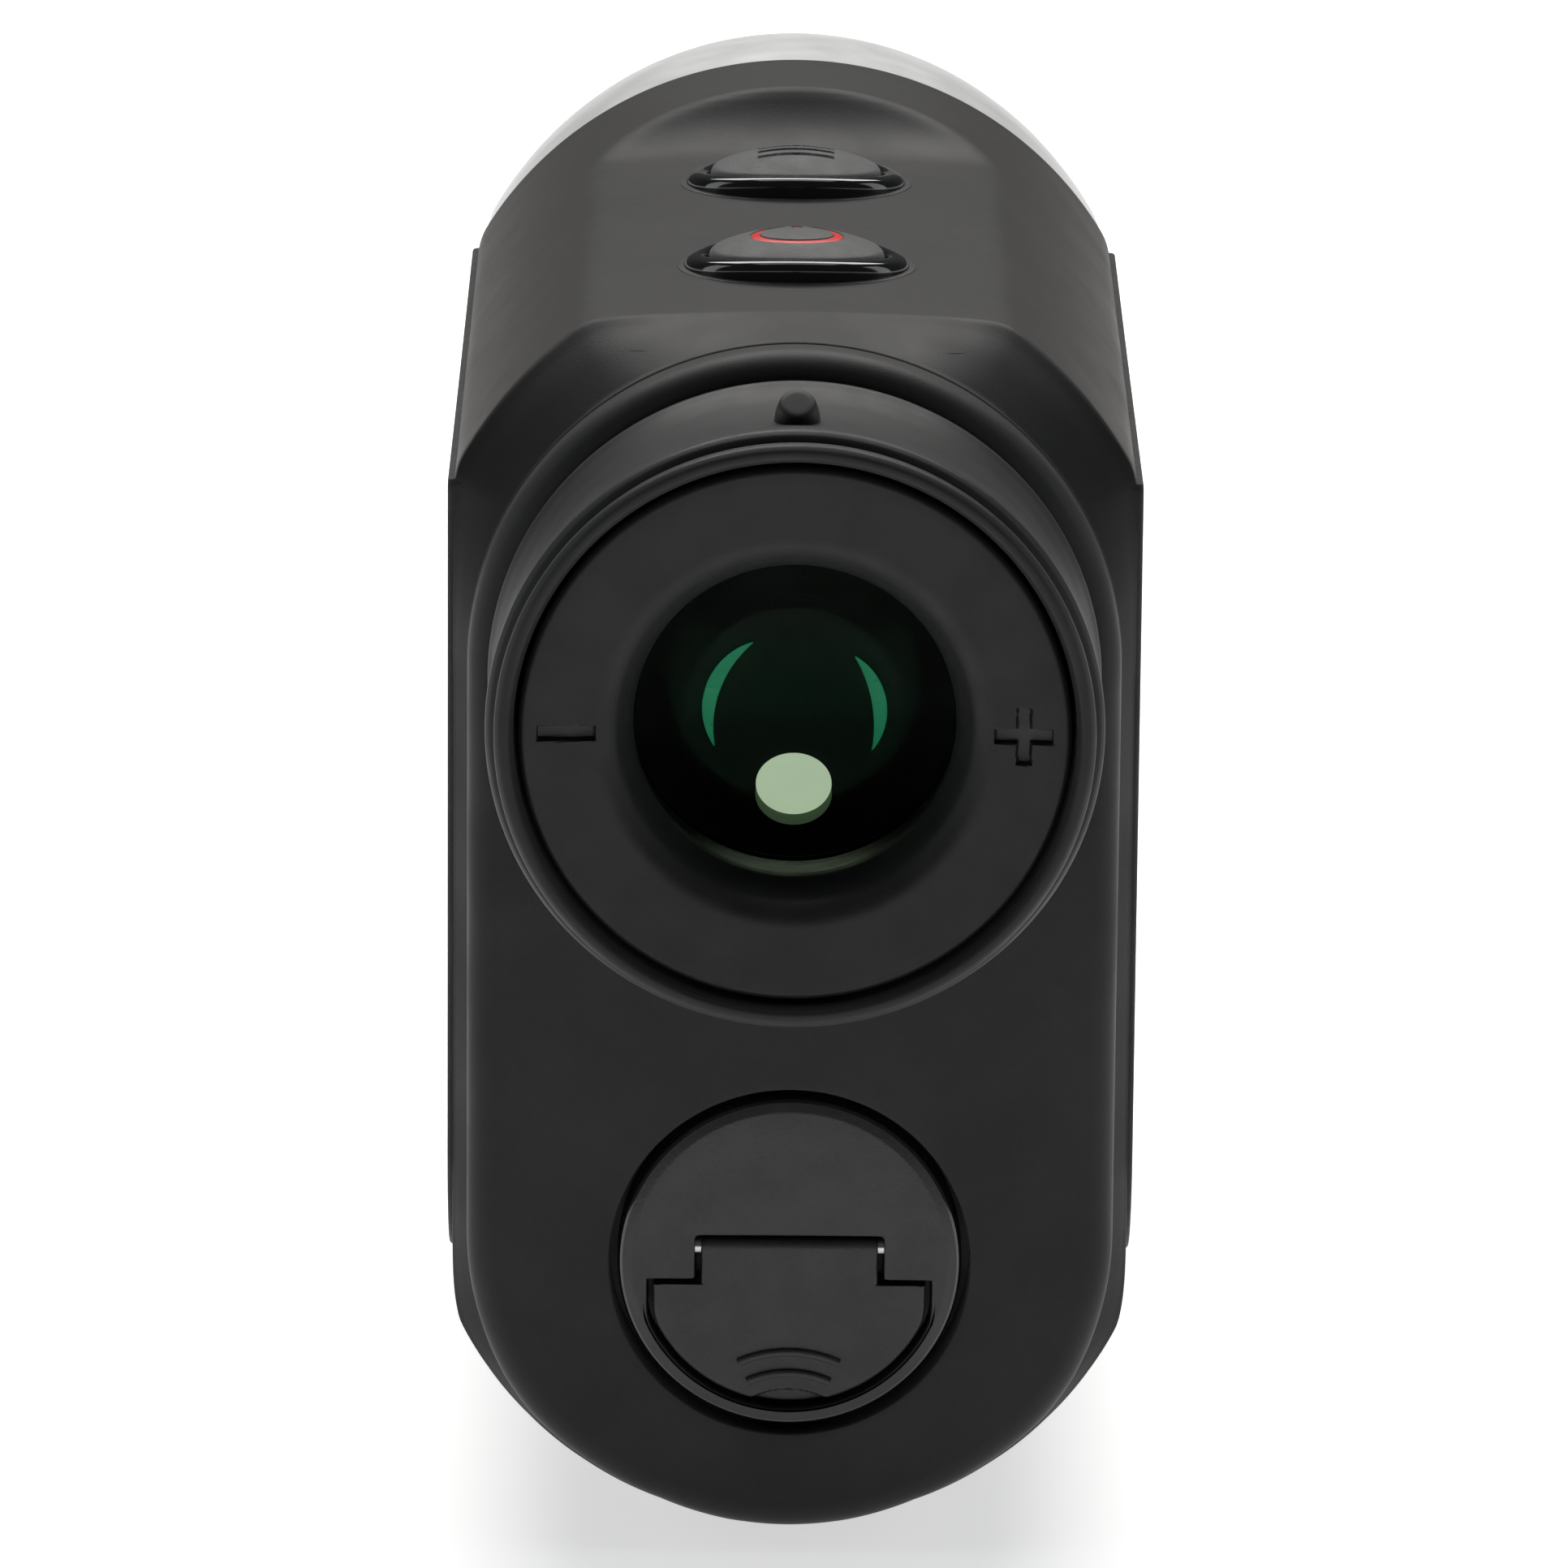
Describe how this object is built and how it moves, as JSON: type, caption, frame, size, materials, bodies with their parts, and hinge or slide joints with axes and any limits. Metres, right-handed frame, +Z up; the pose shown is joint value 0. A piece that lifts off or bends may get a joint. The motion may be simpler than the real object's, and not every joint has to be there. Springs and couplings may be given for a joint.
{
  "type": "laser rangefinder",
  "caption": "Handheld laser rangefinder: upright rubber-armoured monocular with dioptre eyecup, top buttons and a round battery cap with a flip-up tab.",
  "frame": {"origin": "middle of the part's box at the flat underside", "axes": "+Y along the optical axis towards the target, +Z up, +X to the right as seen by the user"},
  "size_m": [0.041, 0.0992, 0.0777],
  "materials": {
    "rubber_skin": "soft-touch black rubber, satin",
    "panel_rubber": "fine-grained black rubber, matt",
    "eyecup_rubber": "soft-touch black rubber, satin",
    "seal_rubber": "smooth black rubber",
    "housing_plastic": "moulded black plastic, fine texture",
    "face_plastic": "moulded black plastic, fine texture",
    "cap_plastic": "grained black plastic",
    "button_plastic": "fine-textured dark grey plastic",
    "switch_plastic": "moulded white plastic",
    "chip_black": "black moulded epoxy",
    "gloss_black": "piano-black gloss plastic",
    "power_red": "red filled engraving",
    "cell_wrap": "plain printed sleeve",
    "circuit_board": "green solder mask",
    "silver_shell": "satin silver lacquer over moulded plastic",
    "black_anodised": "black anodised, fine threads",
    "gold_can": "gold-plated",
    "steel": "plated steel",
    "brass": "machined brass",
    "coated_glass": "green-coated optical glass",
    "dark_glass": "dark red infrared filter glass",
    "clear_glass": "polished optical glass",
    "display_glass": "liquid crystal cell"
  },
  "bodies": {
    "housing": {"rear_cover": "rubber_skin", "armour": "rubber_skin", "inner_shell": "housing_plastic", "left_panel": "panel_rubber", "right_panel": "panel_rubber", "front_shell": "silver_shell", "front_bezel": "gloss_black", "eyepiece_tube": "black_anodised", "eyepiece_face": "face_plastic", "eyepiece_seal": "seal_rubber", "lcd_frame": "housing_plastic", "lcd_display": "display_glass", "prism_housing": "housing_plastic", "half_penta_prism": "clear_glass", "roof_prism": "clear_glass", "laser_diode": "gold_can", "objective_barrel": "black_anodised", "objective_lens": "coated_glass", "objective_ring": "black_anodised", "receiver_barrel": "black_anodised", "receiver_lens": "dark_glass", "receiver_ring": "black_anodised", "detector": "gold_can", "detector_board": "circuit_board", "main_board": "circuit_board", "board_chips": "chip_black", "button_board": "circuit_board", "power_switch": "switch_plastic", "mode_switch": "switch_plastic", "power_bezel": "gloss_black", "mode_bezel": "gloss_black", "battery_tube": "housing_plastic", "tube_screws": "steel", "contact_spring": "steel", "tripod_bush": "brass"},
    "eyecup": {"eyecup": "eyecup_rubber"},
    "ocular": {"ocular_cell": "black_anodised", "eye_lens": "coated_glass", "ocular_spacer": "black_anodised", "field_lens": "coated_glass", "ocular_ring": "black_anodised"},
    "power_button": {"power_cap": "button_plastic", "power_mark": "power_red", "power_plunger": "chip_black"},
    "mode_button": {"mode_cap": "button_plastic", "mode_plunger": "chip_black"},
    "cap_seal_ring": {"cap_seal": "seal_rubber"},
    "battery_cap": {"battery_cap": "cap_plastic", "cap_contact": "gold_can", "tab_pin": "steel"},
    "cap_tab": {"cap_tab": "cap_plastic"},
    "cell": {"battery_cell": "cell_wrap"}
  },
  "joints": [
    {"name": "dioptre_turn", "type": "hinge", "parent": "housing", "child": "eyecup", "pos_m": [0, -0.04242, 0.0548], "axis": [0, 1, 0], "range_deg": [-45, 45]},
    {"name": "ocular_shift", "type": "slide", "parent": "housing", "child": "ocular", "axis": [0, 1, 0], "range_m": [-0.0008, 0.0008]},
    {"name": "power_press", "type": "slide", "parent": "housing", "child": "power_button", "axis": [0, 0, -1], "range_m": [0, 0.0006], "stiffness_N_per_m": 1500},
    {"name": "mode_press", "type": "slide", "parent": "housing", "child": "mode_button", "axis": [0, 0, -1], "range_m": [0, 0.0006], "stiffness_N_per_m": 1500},
    {"name": "cap_pull", "type": "slide", "parent": "housing", "child": "cap_seal_ring", "axis": [0, -1, 0], "range_m": [0, 0.04]},
    {"name": "cap_turn", "type": "hinge", "parent": "cap_seal_ring", "child": "battery_cap", "pos_m": [0, -0.03542, 0.0184], "axis": [0, -1, 0], "range_deg": [0, 90]},
    {"name": "tab_flip", "type": "hinge", "parent": "battery_cap", "child": "cap_tab", "pos_m": [0, -0.03467, 0.0192], "axis": [-1, 0, 0], "range_deg": [0, 90]},
    {"name": "cell_slide", "type": "slide", "parent": "housing", "child": "cell", "axis": [0, -1, 0], "range_m": [0, 0.032]}
  ],
  "couplings": [
    {"joint": "ocular_shift", "follows": "dioptre_turn", "m_per_rad": 0.001},
    {"joint": "cell_slide", "follows": "cap_pull", "ratio": 0.8}
  ]
}
